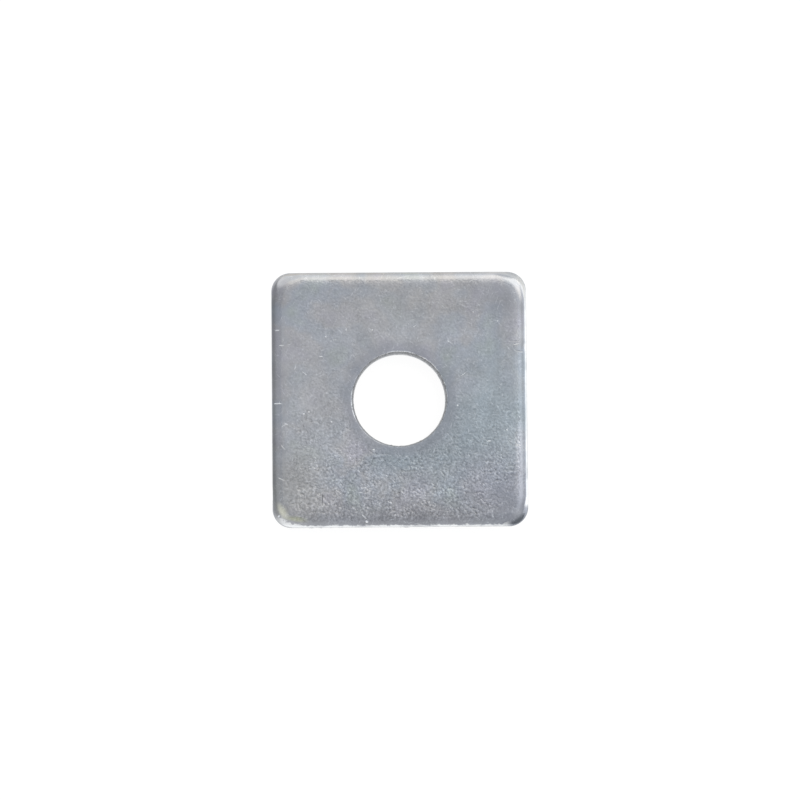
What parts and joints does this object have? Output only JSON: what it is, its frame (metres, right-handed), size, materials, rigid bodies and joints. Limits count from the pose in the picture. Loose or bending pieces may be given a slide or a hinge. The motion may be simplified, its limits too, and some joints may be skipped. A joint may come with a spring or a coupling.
{
  "type": "square plate washer",
  "caption": "Thick square steel washer with rounded corners, a central clearance hole for a bolt, rolled upper edges and torn, leaning lower edges.",
  "frame": {"origin": "on the axis of the bolt hole, at the lower face, which bears on the work", "axes": "+Z along the axis of the bolt hole, out of the upper face, which has the rolled outer edge; X and Y square to the sides"},
  "size_m": [0.05, 0.05, 0.005],
  "materials": {
    "zinc_plate": "blue-passivated zinc plating on steel, satin, finely grained, with small bright nicks and scratches"
  },
  "bodies": {
    "root": {"plate_washer": "zinc_plate"}
  },
  "joints": []
}
